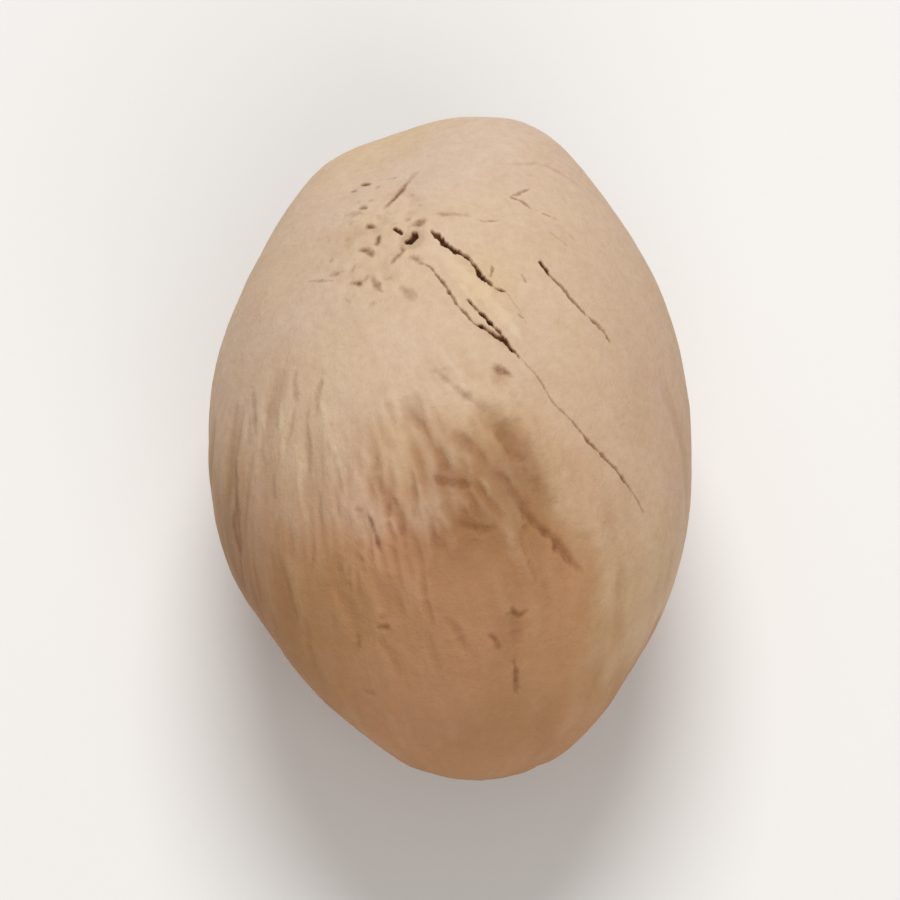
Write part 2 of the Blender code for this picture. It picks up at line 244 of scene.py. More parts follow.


# Cracks: width and depth in millimetres, darkness, how broken up they are, the places they pass through. The
# darkness is partly the brown inside a crack and partly painted shade in its narrow gap
crackLines = [
    (0.27, 0.32, 1.00, 0.40, [(0.464, -4.7), (0.451, -4.1), (0.432, -2.6), (0.41, -0.7), (0.386, 2.1),
                              (0.36, 5.1)]),
    (0.15, 0.16, 0.55, 0.40, [(0.398, 0.9), (0.37, 4.4), (0.346, 6.0)]),
    (0.26, 0.32, 1.00, 0.30, [(0.351, 5.7), (0.312, 7.6), (0.289, 9.1)]),
    (0.16, 0.12, 0.62, 0.45, [(0.301, 8.8), (0.274, 10.9), (0.259, 14.1)]),
    (0.12, 0.06, 0.40, 0.30, [(0.35, 10.7), (0.33, 10.8), (0.3, 9.9)]),
    (0.10, 0.03, 0.16, 0.40, [(0.259, 14.1), (0.206, 16.7), (0.162, 18.6)]),
    (0.12, 0.13, 0.52, 0.30, [(0.351, -7.8), (0.345, -5.9), (0.329, -4.3), (0.296, -2.4), (0.264, -0.6),
                              (0.238, 0.7), (0.203, 2.1), (0.176, 4.3), (0.147, 6.1), (0.134, 8.6)]),
    (0.18, 0.24, 0.85, 0.35, [(0.147, 6.1), (0.134, 8.6), (0.115, 10.5), (0.103, 12.6), (0.077, 14.3),
                              (0.068, 15.8), (0.05, 16.7)]),
    (0.17, 0.26, 1.00, 0.75, [(0.229, 4.1), (0.208, 5.7), (0.186, 7.2), (0.172, 8.4), (0.152, 9.9),
                              (0.128, 11.7), (0.103, 13.3)]),
    (0.11, 0.06, 0.30, 0.25, [(0.05, 16.7), (0.038, 17.9), (-0.01, 21.7), (-0.065, 24.7), (-0.116, 30.3)]),
    (0.15, 0.1, 0.42, 0.20, [(-0.099, 28.5), (-0.167, 36.3), (-0.222, 44.7), (-0.265, 50.7)]),
    (0.12, 0.06, 0.26, 0.30, [(-0.25, 49.1), (-0.28, 53.0), (-0.306, 56.3)]),
    (0.20, 0.2, 0.95, 0.40, [(0.386, 23.5), (0.362, 24.5), (0.339, 25.7)]),
    (0.19, 0.12, 0.55, 0.45, [(0.348, 24.9), (0.304, 28.6), (0.259, 31.4), (0.219, 34.7)]),
    (0.22, 0.1, 0.46, 0.50, [(0.227, 33.9), (0.195, 38.1), (0.157, 41.4)]),
    (0.12, 0.03, 0.26, 0.50, [(0.504, 8.1), (0.503, 10.9), (0.515, 14.3)]),
    (0.12, 0.03, 0.28, 0.50, [(0.348, -37.9), (0.339, -33.8), (0.329, -29.9)]),
    (0.19, 0.04, 0.34, 0.40, [(0.609, 18.0), (0.594, 22.2), (0.57, 24.2)]),
    (0.16, 0.04, 0.32, 0.40, [(0.607, 18.2), (0.632, 22.3), (0.647, 25.7)]),
    (0.12, 0.03, 0.26, 0.50, [(0.562, 27.1), (0.546, 31.9)]),
    (0.12, 0.03, 0.22, 0.50, [(0.496, 27.9), (0.455, 32.9)]),
    (0.15, 0.05, 0.30, 0.50, [(0.328, 18.2), (0.301, 19.2)]),
    (0.15, 0.05, 0.30, 0.50, [(0.192, 16.3), (0.177, 17.7)]),
    (0.30, 0.24, 1.00, 0.10, [(0.431, -11.7), (0.434, -10.1), (0.447, -9.2), (0.465, -9.2)]),
    (0.24, 0.14, 0.85, 0.30, [(0.479, -14.8), (0.466, -13.4), (0.455, -12.3)]),
]
# Smudges strewn about the hilum: cap of the surface, how many, lengths and widths in millimetres, darknesses
fleckZones = [
    {"place": (0.50, -21), "spread": 11, "count": 22, "lengths": (0.15, 0.45), "widths": (0.18, 0.34),
     "darks": (0.08, 0.26), "seed": 51},
    {"place": (0.56, 22), "spread": 10, "count": 8, "lengths": (0.15, 0.50), "widths": (0.12, 0.24),
     "darks": (0.08, 0.20), "seed": 52},
    {"place": (0.30, -20), "spread": 6, "count": 6, "lengths": (0.15, 0.45), "widths": (0.14, 0.28),
     "darks": (0.10, 0.36), "seed": 53},
]
# Soft marks, in the same terms as the cracks
softMarks = [
    (0.42, 0.05, 0.66, 0.20, [(0.019, 9.6), (0.008, 12.2), (-0.009, 15.0)]),
    (0.40, 0.05, 0.40, 0.20, [(0.013, -3.9), (-0.043, 0.7), (-0.084, 4.8), (-0.123, 8.9)]),
    (0.46, 0.03, 0.40, 0.10, [(0.141, 7.6), (0.114, 10.9), (0.076, 14.0)]),
    (0.36, 0.03, 0.20, 0.30, [(0.724, 14.4), (0.731, 22.9), (0.739, 32.3), (0.725, 38.9), (0.7, 47.7)]),
    (0.39, 0.03, 0.36, 0.30, [(0.051, -53.4), (-0.014, -52.7), (-0.099, -52.5)]),
    (0.41, 0.03, 0.37, 0.30, [(0.041, -30.2), (-0.026, -31.8), (-0.104, -32.7)]),
    (0.41, 0.03, 0.32, 0.30, [(0.071, -38.4), (0.024, -38.7), (-0.049, -37.7)]),
    (0.36, 0.03, 0.23, 0.30, [(-0.039, -35.0), (-0.149, -35.5), (-0.269, -36.0)]),
    # These two along the left rim are partly brown streaks and partly painted shade on the lower left rim
    (0.60, 0.02, 0.55, 0.20, [(-0.123, -62.2), (-0.219, -63.7), (-0.3, -65.2), (-0.377, -66.8)]),
    (0.60, 0.02, 0.55, 0.20, [(-0.25, -67.4), (-0.317, -68.3), (-0.392, -67.9)]),
    (0.42, 0.06, 0.36, 0.20, [(-0.3, -17.4), (-0.346, -16.3), (-0.39, -14.8), (-0.431, -13.5)]),
    (0.34, 0.05, 0.34, 0.20, [(-0.28, -9.2), (-0.313, -8.8), (-0.366, -8.6), (-0.426, -9.0)]),
    (0.40, 0.07, 0.46, 0.20, [(-0.36, -13.8), (-0.398, -13.0), (-0.452, -12.0), (-0.503, -11.3)]),
    (0.52, 0.1, 0.52, 0.10, [(-0.306, -4.1), (-0.324, -0.6), (-0.328, 3.4), (-0.337, 6.6)]),
    (0.60, 0.04, 0.24, 0.20, [(-0.094, -8.4), (-0.132, -7.8), (-0.174, -6.4)]),
    (0.48, 0.08, 0.36, 0.10, [(-0.425, 2.5), (-0.445, 5.4), (-0.451, 9.1), (-0.44, 12.6)]),
    (0.52, 0.09, 0.38, 0.10, [(-0.29, 11.0), (-0.314, 14.0), (-0.363, 17.4), (-0.398, 18.9)]),
    (0.54, 0.08, 0.34, 0.10, [(-0.175, 1.0), (-0.201, 3.6), (-0.243, 7.2), (-0.283, 9.0)]),
    (0.44, 0.07, 0.32, 0.10, [(-0.404, -4.7), (-0.459, -3.7), (-0.509, -2.0)]),
    (1.70, 0.05, 0.32, 0.10, [(-0.09, 11.0), (-0.14, 12.6), (-0.2, 15.2), (-0.26, 18.6), (-0.315, 22.6),
                              (-0.365, 27.8)]),
    (0.54, 0.13, 0.62, 0.10, [(-0.345, 15.6), (-0.375, 18.2), (-0.419, 22.4), (-0.455, 28.1),
                              (-0.492, 33.4), (-0.526, 40.1)]),
    (0.29, 0.06, 0.80, 0.20, [(-0.637, 18.6), (-0.656, 20.1), (-0.66, 22.4), (-0.639, 24.6)]),
    (0.38, 0.04, 0.52, 0.20, [(-0.689, -24.3), (-0.691, -21.5), (-0.693, -18.9)]),
    (0.38, 0.06, 0.77, 0.30, [(-0.712, 12.6), (-0.725, 15.6), (-0.749, 18.1)]),
    (0.36, 0.06, 0.73, 0.30, [(-0.763, 23.9), (-0.8, 26.8), (-0.841, 30.0)]),
    (0.33, 0.03, 0.42, 0.30, [(-0.693, -31.2), (-0.739, -33.3)]),
    (0.30, 0.03, 0.26, 0.30, [(-0.821, -40), (-0.843, -32.8)]),
    (0.41, 0.05, 0.90, 0.20, [(0.682, -34.8), (0.679, -32.1)]),
    (0.38, 0.05, 0.99, 0.20, [(0.713, -32.3), (0.696, -27.3)]),
    (0.24, 0.02, 0.45, 0.30, [(0.715, -22.6), (0.708, -18.1)]),
    (0.36, 0.05, 1.00, 0.30, [(0.685, -12.8), (0.659, -13.8), (0.628, -15.4), (0.599, -17.0),
                              (0.574, -18.1), (0.559, -19.3)]),
    (0.41, 0.03, 0.36, 0.20, [(0.671, -13.5), (0.725, -11.5)]),
    (0.41, 0.03, 0.45, 0.20, [(0.605, -24.8), (0.607, -22.9)]),
    (0.35, 0.04, 0.75, 0.20, [(0.589, -27.5), (0.569, -23.7)]),
    (0.35, 0.02, 0.39, 0.30, [(0.569, -30.4), (0.549, -24.5)]),
    (0.41, 0.05, 0.99, 0.20, [(0.509, -23.4), (0.492, -20.4)]),
    (0.41, 0.05, 0.93, 0.20, [(0.467, -18.7), (0.439, -18.9), (0.424, -19.5)]),
    (0.41, 0.05, 0.90, 0.20, [(0.42, -24.5), (0.413, -21.6), (0.383, -19.4)]),
    (0.38, 0.06, 1.00, 0.20, [(0.479, -14.8), (0.457, -12.5)]),
    (0.54, 0.05, 0.78, 0.20, [(0.508, -8.8), (0.479, -6.9)]),
    (0.46, 0.03, 0.45, 0.20, [(0.514, -11.8), (0.501, -10.5)]),
    (0.30, 0.05, 0.90, 0.30, [(0.422, -12.7), (0.394, -11.9), (0.374, -13.4), (0.356, -14.8)]),
    (0.35, 0.03, 0.60, 0.30, [(0.374, -10.5), (0.366, -8.6), (0.345, -6.3)]),
    (0.38, 0.03, 0.63, 0.30, [(0.351, -31.7), (0.351, -28.2)]),
    (0.35, 0.05, 0.93, 0.20, [(0.314, -25.5), (0.312, -23.6), (0.301, -21.6)]),
    (0.35, 0.04, 0.72, 0.30, [(0.327, -19.7), (0.297, -18.4), (0.259, -16.1)]),
    (0.60, 0.03, 0.39, 0.20, [(0.278, -12.3), (0.259, -10.4), (0.221, -8.0)]),
    (0.27, 0.03, 0.54, 0.30, [(0.525, -4.5), (0.52, 0.2), (0.519, 5.8)]),
    (0.30, 0.09, 0.80, 0.20, [(-0.39, -20.9), (-0.415, -20.4), (-0.45, -19.4)]),
    (0.28, 0.09, 0.85, 0.20, [(-0.446, -19.3), (-0.472, -18.8), (-0.5, -18.6)]),
    (0.24, 0.03, 0.36, 0.30, [(-0.376, -24.2), (-0.383, -21.6)]),
]
# Flakes of pale skin and pale ridges, in the same terms but raised instead of sunk, and pale instead of dark
paleStrips = [
    (0.85, 0.035, 0.80, 0.30, [(0.408, -4.2), (0.353, 0.3), (0.293, 5.1), (0.244, 8.4), (0.186, 12.3)]),
    (0.55, 0.03, 0.80, 0.30, [(0.285, 6.8), (0.215, 10.8), (0.144, 15.0), (0.105, 17.4)]),
    (0.40, 0.03, 0.60, 0.30, [(0.341, -0.7), (0.273, 3.1), (0.204, 6.8)]),
    (2.00, 0.09, 0.10, 0.00, [(0.041, -3.0), (-0.089, 9.3), (-0.217, 20.3), (-0.345, 32.8),
                              (-0.452, 48.7)]),
    (0.46, 0.03, 0.50, 0.40, [(0.001, -32.6), (-0.129, -29.6), (-0.228, -27.9), (-0.339, -25.5)]),
    (0.40, 0.03, 0.40, 0.40, [(0.001, -43.0), (-0.087, -43.3), (-0.199, -43.5)]),
    (0.46, 0.03, 0.40, 0.40, [(0.021, -49.5), (-0.085, -49.7), (-0.189, -49.6)]),
    (0.62, 0.09, 0.19, 0.10, [(-0.216, 0.3), (-0.243, 3.1), (-0.278, 5.1)]),
    (0.58, 0.09, 0.14, 0.10, [(-0.298, 5.6), (-0.325, 8.3), (-0.366, 9.9)]),
    (0.54, 0.09, 0.14, 0.10, [(-0.357, 2.1), (-0.389, 4.4), (-0.418, 6.0)]),
    (0.54, 0.08, 0.13, 0.10, [(-0.379, -3.9), (-0.414, -2.1), (-0.454, 0.4)]),
    (0.56, 0.08, 0.12, 0.10, [(-0.433, 13.1), (-0.464, 15.4), (-0.494, 17.9)]),
    (0.44, 0.07, 0.18, 0.10, [(-0.328, -7.3), (-0.375, -6.9), (-0.43, -6.8)]),
    (0.44, 0.07, 0.16, 0.10, [(-0.33, -14.4), (-0.372, -11.6), (-0.45, -10.4)]),
]
lineDetail = {
    "step": 0.04 * mm,
    # edge length of the mesh in each kind of line
    "crackEdge": 0.055 * mm, "softEdge": 0.11 * mm, "fleckEdge": 0.075 * mm, "pitEdge": 0.15 * mm,
    "sharpEnds": 1.8, "softEnds": 1.0,  # how suddenly a line ends
    "fleckDepth": 0.10, "fleckGaps": 0.3,  # depth of a wholly dark fleck in millimetres, how broken up it is
    # what wobbles along a line: how often per millimetre, and the row of noise that it reads
    "sway": (1.1, 0), "fineSway": (3.1, 9), "widthChange": (1.9, 20), "breaks": (2.6, 40),
    "swaySize": 0.06 * mm, "fineSwayShare": 0.5, "unevenness": 0.6, "breakContrast": 1.6,
    "endWidth": 0.30, "brokenWidth": 0.6,  # shares of the width left at an end and in a break
    "noiseStep": 7,  # between one line's noise and the next one's
}


# A smooth curve through the places, as directions one step apart
def smoothLine(places, step):
    corners = [directionAt(place) for place in places]
    padded = [2 * corners[0] - corners[1]] + corners + [2 * corners[-1] - corners[-2]]
    line = []
    for before, first, last, after in zip(padded, padded[1:], padded[2:], padded[3:]):
        count = max(2, round(np.linalg.norm(np.array(last - first) * halfAxes) / step))
        for share in np.arange(count) / count:
            bend = 2 * first + (last - before) * share
            bend += (2 * before - 5 * first + 4 * last - after) * share**2
            bend += (3 * first - before - 3 * last + after) * share**3
            line.append((bend / 2).normalized())
    return np.array(line + [corners[-1]])


# Noise along one line, at the given millimetres from its start
def wobbleAlong(run, line, often, row):
    return np.array([noise.noise(Vector((far * often, line, row))) for far in run])


def lineStrokes(lines, edge, ends, seed):
    strokes = []
    for number, (width, depth, dark, gaps, places) in enumerate(lines):
        directions = smoothLine(places, lineDetail["step"])
        points = smoothBody(directions)
        aside = np.cross(bodyNormals(directions), np.gradient(points, axis=0))
        aside /= np.linalg.norm(aside, axis=1, keepdims=True)
        run = np.arange(len(points)) * lineDetail["step"] / mm
        share = np.linspace(0, 1, len(points))
        taper = np.sqrt(np.clip(4 * share * (1 - share), 0, 1))
        line = number * lineDetail["noiseStep"] + seed
        sway, fineSway, widthChange, breaks = (
            wobbleAlong(run, line, *lineDetail[name])
            for name in ("sway", "fineSway", "widthChange", "breaks")
        )
        sway = sway + lineDetail["fineSwayShare"] * fineSway
        whole = 1 - gaps * np.clip(0.5 + lineDetail["breakContrast"] * breaks, 0, 1)
        points = points + aside * (sway * taper * lineDetail["swaySize"])[:, None]
        endWidth, brokenWidth = lineDetail["endWidth"], lineDetail["brokenWidth"]
        widths = width / 2 * mm * (endWidth + (1 - endWidth) * taper)
        widths = widths * (1 + lineDetail["unevenness"] * widthChange)
        strength = np.minimum(1, taper * ends)
        strokes.append({"points": points, "widths": widths * (brokenWidth + (1 - brokenWidth) * whole),
                        "depths": depth * mm * strength * whole, "darks": dark * strength * whole,
                        "edge": edge})
    return strokes


# A fleck is a short soft mark that lies any way round
def fleckLines():
    lines = []
    for zone in fleckZones:
        chooser = random.Random(zone["seed"])
        for start in spreadStarts(zone, chooser):
            side = start.orthogonal().normalized()
            turn = chooser.uniform(0, 2 * math.pi)
            heading = side * math.cos(turn) + start.cross(side) * math.sin(turn)
            reach = chooser.uniform(*zone["lengths"]) / 2 * mm / halfAxes[0]
            places = [placeOf((start + heading * reach * share).normalized()) for share in (-1, 0, 1)]
            dark = chooser.uniform(*zone["darks"])
            width = chooser.uniform(*zone["widths"])
            lines.append((width, lineDetail["fleckDepth"] * dark, dark, lineDetail["fleckGaps"], places))
    return lines


# Round pits: place, radius and depth in millimetres, darkness
pitMarks = [
    (kernelForm["hilum"], 0.62, 0.14, 0.22),
    (kernelForm["tipScar"], 1.70, 0.55, 0.45),
    ((-0.01, 12), 0.50, 0.06, 0.05),
    ((-0.68, 23), 0.50, 0.04, 0.0),
    ((-0.78, 19), 0.60, 0.03, 0.0),
]


def pitStrokes():
    strokes = []
    for place, radius, depth, dark in pitMarks:
        middle = smoothBody(np.array([directionAt(place)]))
        strokes.append({"points": middle, "widths": np.array([radius * mm]),
                        "depths": np.array([depth * mm]), "darks": np.array([dark]),
                        "edge": lineDetail["pitEdge"]})
    return strokes


# Indices of the points within reach of the stroke, their distances to it and their nearest samples on it
def nearestOn(stroke, points, reach):
    middle = stroke["points"].mean(axis=0)
    radius = np.linalg.norm(stroke["points"] - middle, axis=1).max() + reach
    near = np.flatnonzero(np.linalg.norm(points - middle, axis=1) < radius)
    gaps = np.linalg.norm(points[near, None] - stroke["points"][None], axis=2)
    sample = gaps.argmin(axis=1)
    distance = gaps[np.arange(len(near)), sample]
    close = distance < reach
    return near[close], distance[close], sample[close]


# A stroke's section in half widths from its middle, and how far noise pushes its sides about
foldSection = {"power": 1.5, "lipPlace": 1.35, "lipSpread": 0.45, "lipShare": 0.30, "reach": 2.4,
               "ragged": 0.15, "raggedAcross": 1.6, "darkPower": 1.0}
softSection = {"power": 1.5, "lipPlace": 1.35, "lipSpread": 0.45, "lipShare": 0.15, "reach": 2.8,
               "ragged": 0.5, "raggedAcross": 2.4, "darkPower": 0.9}
crackSection = {"power": 0.8, "lipPlace": 1.5, "lipSpread": 0.60, "lipShare": 0.10, "reach": 3.4,
                "ragged": 0.7, "raggedAcross": 5.0, "darkPower": 0.5}


# How far the strokes sink each point, less their lips, and how dark and how lipped it is there
def strokeRelief(points, strokes, section):
    sunk = np.zeros(len(points))
    raised = np.zeros(len(points))
    dark = np.zeros(len(points))
    lipped = np.zeros(len(points))
    ragged = noiseValues(points / mm, section["raggedAcross"]) * section["ragged"]
    for stroke in strokes:
        near, distance, sample = nearestOn(stroke, points, stroke["widths"].max() * section["reach"])
        across = np.maximum(distance / stroke["widths"][sample] + ragged[near], 0)
        depth = stroke["depths"][sample]
        valley = np.clip(1 - across**2, 0, 1) ** section["power"]
        lip = np.exp(-(((across - section["lipPlace"]) / section["lipSpread"]) ** 2))
        sunk[near] = np.maximum(sunk[near], valley * depth)
        raised[near] = np.maximum(raised[near], lip * depth * section["lipShare"])
        dark[near] = np.maximum(dark[near], valley ** section["darkPower"] * stroke["darks"][sample])
        lipped[near] = np.maximum(lipped[near], lip * stroke["darks"][sample])
    return sunk - raised, dark, lipped


# Low ridges stretched along the grain: place, spread, height, how fine across and along the grain
ridgeZones = [
    ((-0.30, 5), 16, 0.100 * mm, 12.0, 7.0),
    ((-0.32, 5), 17, 0.070 * mm, 9.0, 5.0),
    ((-0.44, 22), 15, 0.050 * mm, 16.0, 4.0),
    ((-0.42, -16), 17, 0.060 * mm, 22.0, 4.0),
    ((-0.24, -48), 20, 0.030 * mm, 9.0, 1.0),
    ((-0.62, 60), 30, 0.030 * mm, 12.0, 2.0),
    ((-0.10, 180), 60, 0.060 * mm, 12.0, 3.0),
]
# How far and how often the ridges wander from the grain, and how steep their sides are
ridgeShape = {"sway": 0.07, "swaysAcross": 6.0, "contrast": 2.2}
# Lumps beside the hilum: place, spread, height, how many across the half width
lumpZones = [((0.52, -22), 12, 0.100 * mm, 11.0), ((0.48, -18), 13, 0.070 * mm, 21.0)]
# Where the mesh is finer than elsewhere: place, spread, edge length
fineZones = [((-0.36, 2), 24, 0.13 * mm), ((0.48, -20), 14, 0.13 * mm)]


def ridgeRelief(directions):
    sway = noiseValues(directions, ridgeShape["swaysAcross"], noisePhases["ridgeSway"])
    grain = grainCoordinates(directions) + ridgeShape["sway"] * sway[:, None]
    rise = np.zeros(len(directions))
    for place, spread, height, across in lumpZones:
        share = np.exp(-((angleFrom(directions, place) / spread) ** 2))
        rise += share * height * noiseValues(directions, across, noisePhases["lumps"])
    for number, (place, spread, height, across, along) in enumerate(ridgeZones):
        share = np.exp(-((angleFrom(directions, place) / spread) ** 2))
        values = noiseValues(grain * np.array((across, across, along)), 1.0, noisePhases["ridges"] * number)
        rise += share * height * np.clip(values * ridgeShape["contrast"], -1, 1)
    return rise


# The mesh starts as an even sphere, and its edges lengthen by the coarsening away from each stroke
meshDetail = {"startLevel": 6, "longest": 0.27 * mm, "coarsening": 0.35, "rounds": 6, "splitShare": 1.4,
              "smoothing": 0.5}


# The longest that an edge may be at each point: short in a stroke, longer with the distance from it
def edgeLimits(directions, points, strokes):
    limits = np.full(len(points), meshDetail["longest"])
    for place, spread, edge in fineZones:
        limits[angleFrom(directions, place) < spread] = edge
    for stroke in strokes:
        reach = (meshDetail["longest"] - stroke["edge"]) / meshDetail["coarsening"] + stroke["widths"].max()
        near, distance, sample = nearestOn(stroke, points, reach)
        beside = np.maximum(distance - stroke["widths"][sample], 0)
        limits[near] = np.minimum(limits[near], stroke["edge"] + beside * meshDetail["coarsening"])
    return limits


# Splits the sphere's long edges until its triangles are fine enough for the strokes
def refine(shape, strokes):
    for number in range(meshDetail["rounds"]):
        edges = list(shape.edges)
        shape.verts.index_update()
        directions = np.array([vertex.co for vertex in shape.verts])
        points = smoothBody(directions)
        limits = edgeLimits(directions, points, strokes)
        firsts = [edge.verts[0].index for edge in edges]
        lasts = [edge.verts[1].index for edge in edges]
        lengths = np.linalg.norm(points[lasts] - points[firsts], axis=1)
        longest = (limits[firsts] + limits[lasts]) / 2 * meshDetail["splitShare"]
        longEdges = [edge for edge, length, most in zip(edges, lengths, longest) if length > most]
        if not longEdges:
            break
        bmesh.ops.subdivide_edges(shape, edges=longEdges, cuts=1)
        bmesh.ops.triangulate(shape, faces=shape.faces, quad_method="BEAUTY", ngon_method="BEAUTY")
        bmesh.ops.smooth_vert(shape, verts=shape.verts, factor=meshDetail["smoothing"], use_axis_x=True,
                              use_axis_y=True, use_axis_z=True)
        for vertex in shape.verts:
            vertex.co.normalize()
        print(f"round {number + 1}: {len(shape.faces)} triangles")


# Pale bloom: how far down the kernel it reaches at each angle round it, and how softly it ends there
bloomReach = {
    "angles": [-180, -120, -90, -60, -35, -15, 0, 12, 25, 40, 55, 70, 90, 115, 140, 180],
    "reaches": [0.20, 0.00, -0.20, -0.33, -0.38, -0.31, -0.29, -0.24, -0.23, -0.38, -0.60, -0.68, -0.60,
                -0.35, 0.00, 0.20],
    "fades": [0.40, 0.50, 0.66, 0.70, 0.60, 0.36, 0.30, 0.32, 0.36, 0.46, 0.60, 0.60, 0.50,
              0.40, 0.40, 0.40],
    "wobbles": [(0.12, 3.4), (0.08, 8.0)],  # size, how many across
    # how thick it lies, thinned in some patches to paint shade: base value, then patches of place, spread,
    # amount
    # Patches at (-0.22, -14), (-0.14, 15) and (-0.24, 33) thin the bloom where the kernel lies in shade
    # beside its middle bulge: painted shade, partly also bare tan skin
    "thicknessAndShade": (1.0, [((-0.05, 58), 36, 0.62), ((-0.05, -62), 34, 0.76), ((-0.22, -14), 10, 0.60),
                        ((-0.14, 15), 11, 0.64), ((0.05, -2), 15, 0.88), ((-0.38, -37), 6, 0.70),
                        ((-0.24, 33), 13, 0.66), ((-0.25, 16), 7, 0.35), ((-0.36, 6), 7, 0.55),
                        # The patch at (-0.30, -67) thins the bloom on the lower left rim: painted shade
                        ((-0.30, -67), 11, 0.45), ((-0.1, 180), 70, 0.55)]),
}


def bloomAndShadeAmount(directions):
    along = directions[:, 1].copy()
    for number, (size, across) in enumerate(bloomReach["wobbles"]):
        along += size * noiseValues(directions, across, noisePhases["bloomAndShade"] + number)
    around = np.degrees(np.arctan2(directions[:, 0], directions[:, 2]))
    reach = np.interp(around, bloomReach["angles"], bloomReach["reaches"])
    fade = np.interp(around, bloomReach["angles"], bloomReach["fades"])
    share = np.clip((along - reach) / fade + 0.5, 0, 1)
    # The patches also thin the bloom to paint shade beside the middle bulge and on the lower left rim
    return share * share * (3 - 2 * share) * patchValues(directions, *bloomReach["thicknessAndShade"])


# How streaked the skin is, and how yellow its tan: base value, then patches of place, spread, amount
streakiness = (0.8, [((0.9, 0), 55, 0.10), ((0.3, 40), 45, 0.10), ((-0.25, 70), 35, 0.12),
                     ((-0.85, 10), 34, 0.20), ((-0.75, 70), 26, 0.05), ((0.45, -36), 38, 0.0),
                     ((0.20, -52), 22, 0.0), ((-0.20, -48), 18, 0.75), ((-0.38, 2), 20, 0.45),
                     ((-0.62, -27), 22, 0.25)])
yellowness = (0.40, [((-0.55, 58), 28, 1.0), ((-0.45, 20), 18, 0.7), ((-0.80, 0), 24, 0.2),
                     ((-0.40, -15), 18, 0.1), ((0.45, -22), 18, 0.40), ((0.30, 8), 10, 0.9),
                     ((-0.24, -13), 8, 0.8), ((-0.28, 12), 12, 1.0), ((0.85, 10), 30, 0.1),
                     ((-0.45, -65), 22, 0.7), ((-0.62, -45), 18, 0.7), ((-0.1, -45), 22, 0.25),
                     ((0.0, 62), 26, 0.25), ((0.88, -58), 24, 0.65)])
# Where the bare skin is browner than its tan, and where the lower left rim is browned as painted shade
brownness = (0.12, [((-0.36, 13), 10, 0.75), ((-0.50, 14), 14, 0.88), ((-0.46, 0), 12, 0.80),
                    ((-0.63, 5), 12, 0.62), ((-0.60, -22), 14, 0.0), ((-0.66, 45), 20, 0.0),
                    # Patches at (-0.40, -70) and (-0.62, -50) brown the lower left rim: painted shade
                    ((-0.85, 5), 26, 0.08), ((-0.40, -70), 20, 0.80), ((-0.62, -50), 18, 0.22),
                    ((-0.1, 180), 70, 0.55)])


def storeValues(mesh, name, values):
    attribute = mesh.attributes.new(name, "FLOAT", "POINT")
    attribute.data.foreach_set("value", values.astype(np.float32))


def storeVectors(mesh, name, vectors):
    attribute = mesh.attributes.new(name, "FLOAT_VECTOR", "POINT")
    attribute.data.foreach_set("vector", vectors.astype(np.float32).ravel())


